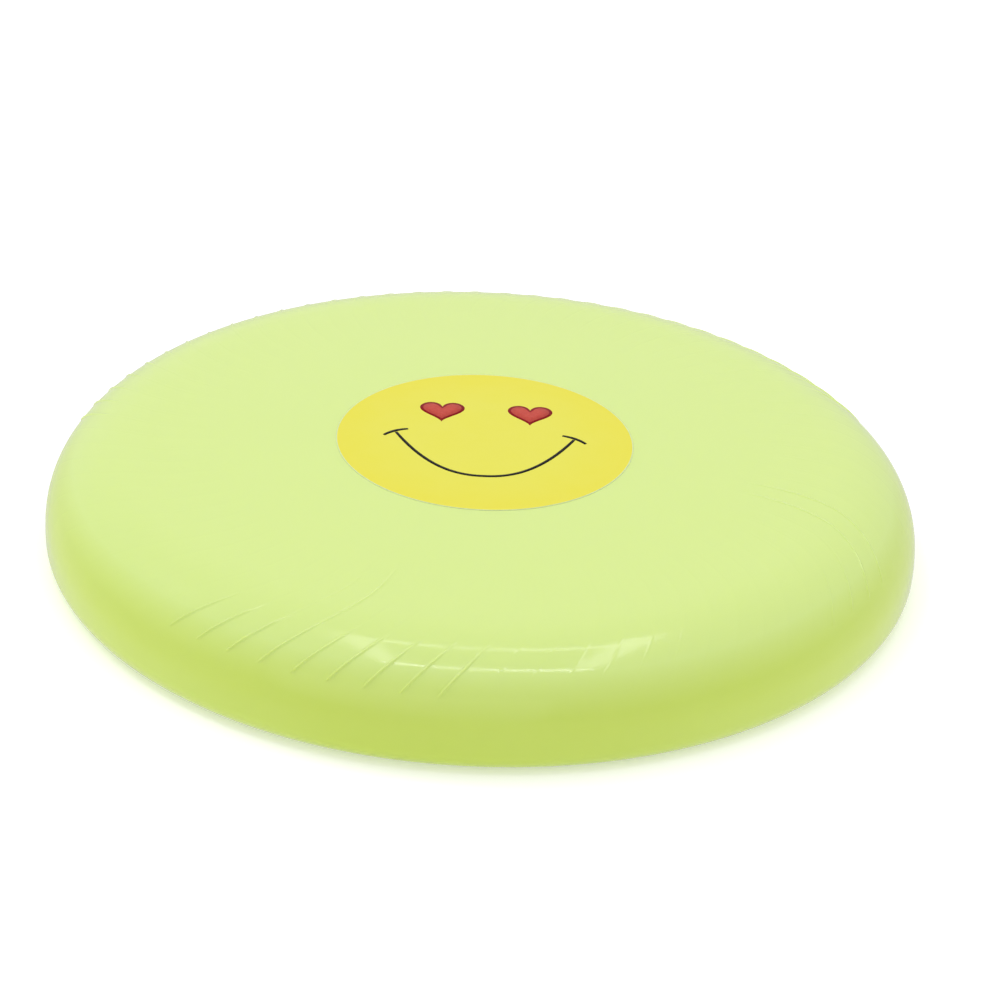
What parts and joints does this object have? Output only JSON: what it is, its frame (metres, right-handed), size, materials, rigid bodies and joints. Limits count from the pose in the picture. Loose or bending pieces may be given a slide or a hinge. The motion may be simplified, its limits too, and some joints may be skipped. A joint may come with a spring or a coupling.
{
  "type": "flying disc",
  "caption": "Closed flying disc in translucent lime plastic: domed plate, full round shoulder with low spiral ridges, turned-in lip, and a round printed sticker on top.",
  "frame": {"origin": "on the disc's axis, in the plane that the lip rests on", "axes": "+Z along the disc's axis, out of the plate; +Y towards the eyes of the face on the sticker; +X to its right as it is read"},
  "size_m": [0.2499, 0.2499, 0.0347],
  "materials": {
    "disc_plastic": "satin",
    "sticker_print": "satin"
  },
  "bodies": {
    "root": {"disc": "disc_plastic", "sticker": "sticker_print"}
  },
  "joints": []
}
